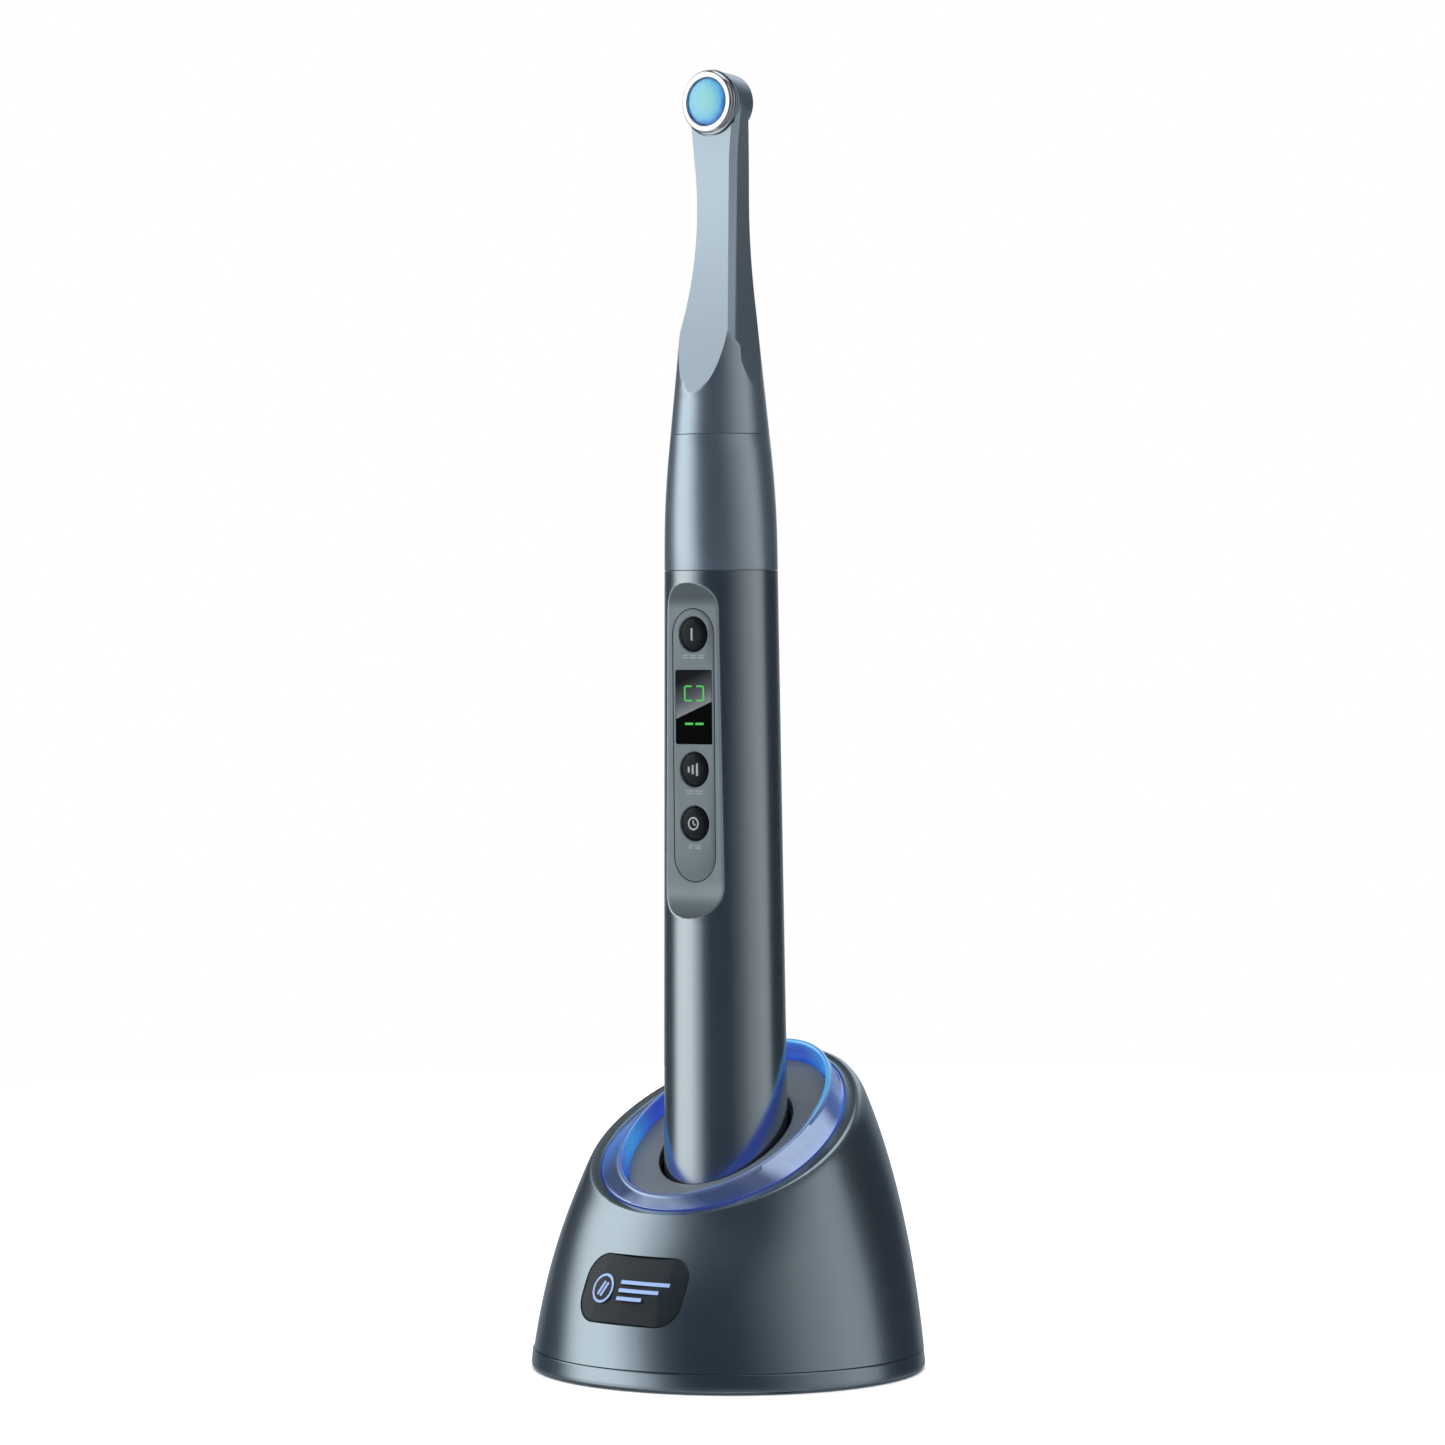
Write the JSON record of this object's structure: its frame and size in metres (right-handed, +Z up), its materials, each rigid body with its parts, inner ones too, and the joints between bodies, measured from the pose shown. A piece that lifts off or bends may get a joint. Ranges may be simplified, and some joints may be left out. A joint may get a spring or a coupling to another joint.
{
  "type": "dental curing light",
  "caption": "Cordless pen-style dental curing light with a turning lens head and a flat control panel, standing in a sloped charging base with a glowing ring.",
  "frame": {"origin": "under the handpiece's axis at the centre of the base, on the surface it stands on", "axes": "+Z up along the handpiece; -Y is the front, with the lens, the control panel and the low side of the base's sloping top; X across"},
  "size_m": [0.0752, 0.0704, 0.2414],
  "materials": {
    "tube_metal": "satin dark anodised",
    "head_metal": "satin anodised",
    "shell_paint": "satin metallic paint",
    "deck_plastic": "satin",
    "black_plastic": "gloss",
    "grey_plastic": "satin",
    "panel_grey": "satin",
    "chrome": "polished",
    "steel": "brushed",
    "brass": "plated",
    "copper": "bare copper",
    "board": "solder mask",
    "rubber": "matt",
    "lens_glass": "polished",
    "display_glass": "gloss",
    "ring_blue": "translucent",
    "cell_can": "wrapped cell can, stood in for by a metal of a cell's mean density"
  },
  "bodies": {
    "base": {"base_shell": "shell_paint", "badge": "black_plastic", "bottom_plate": "shell_paint", "foot_1": "rubber", "foot_2": "rubber", "foot_3": "rubber", "foot_4": "rubber", "plate_screw_1": "steel", "plate_screw_2": "steel", "plate_screw_3": "steel", "ballast_plate": "steel", "deck_plate": "deck_plastic", "light_ring": "ring_blue", "ring_board": "board", "charging_well": "black_plastic", "contact_block": "grey_plastic", "pin_barrel_1": "brass", "pin_barrel_2": "brass", "pin_barrel_3": "brass", "charging_board": "board", "charger_chip": "black_plastic", "inlet_socket": "steel", "inlet_tongue": "black_plastic"},
    "handpiece": {"main_tube": "tube_metal", "collar_sleeve": "head_metal", "swivel_bush": "grey_plastic", "control_panel": "panel_grey", "display_window": "display_glass", "display_module": "black_plastic", "switch_power": "steel", "switch_mode": "steel", "switch_timer": "steel", "control_board": "board", "board_carrier": "grey_plastic", "controller_chip": "black_plastic", "driver_coil": "black_plastic", "battery_cell": "cell_can", "battery_contact": "brass", "battery_spring": "steel", "tail_cap": "black_plastic", "tail_contact_centre": "brass", "tail_contact_ring": "brass"},
    "head": {"head_shell": "head_metal", "lens_bezel": "chrome", "lens": "lens_glass", "reflector": "chrome", "led_emitter": "grey_plastic", "led_board": "board", "heat_slug": "copper", "head_wiring": "rubber", "wiring_plug": "black_plastic", "swivel_spigot": "steel", "retaining_clip": "steel", "swivel_seal": "rubber"},
    "button_power": {"button_power": "black_plastic"},
    "button_mode": {"button_mode": "black_plastic"},
    "button_timer": {"button_timer": "black_plastic"},
    "pin_1": {"pin_plunger_1": "brass"},
    "pin_2": {"pin_plunger_2": "brass"},
    "pin_3": {"pin_plunger_3": "brass"}
  },
  "joints": [
    {"name": "lift_out", "type": "slide", "parent": "base", "child": "handpiece", "axis": [0, 0, 1], "range_m": [0, 0.06]},
    {"name": "head_swivel", "type": "hinge", "parent": "handpiece", "child": "head", "pos_m": [0, 0, 0.1737], "axis": [0, 0, 1], "range_deg": [-180, 180]},
    {"name": "press_power", "type": "slide", "parent": "handpiece", "child": "button_power", "axis": [0, 1, 0], "range_m": [0, 0.0004], "stiffness_N_per_m": 2500, "springref_m": -0.0003},
    {"name": "press_mode", "type": "slide", "parent": "handpiece", "child": "button_mode", "axis": [0, 1, 0], "range_m": [0, 0.0004], "stiffness_N_per_m": 2500, "springref_m": -0.0003},
    {"name": "press_timer", "type": "slide", "parent": "handpiece", "child": "button_timer", "axis": [0, 1, 0], "range_m": [0, 0.0004], "stiffness_N_per_m": 2500, "springref_m": -0.0003},
    {"name": "contact_1", "type": "slide", "parent": "base", "child": "pin_1", "axis": [0, 0, -1], "range_m": [0, 0.001], "stiffness_N_per_m": 500, "springref_m": -0.0006},
    {"name": "contact_2", "type": "slide", "parent": "base", "child": "pin_2", "axis": [0, 0, -1], "range_m": [0, 0.001], "stiffness_N_per_m": 500, "springref_m": -0.0006},
    {"name": "contact_3", "type": "slide", "parent": "base", "child": "pin_3", "axis": [0, 0, -1], "range_m": [0, 0.001], "stiffness_N_per_m": 500, "springref_m": -0.0006}
  ]
}
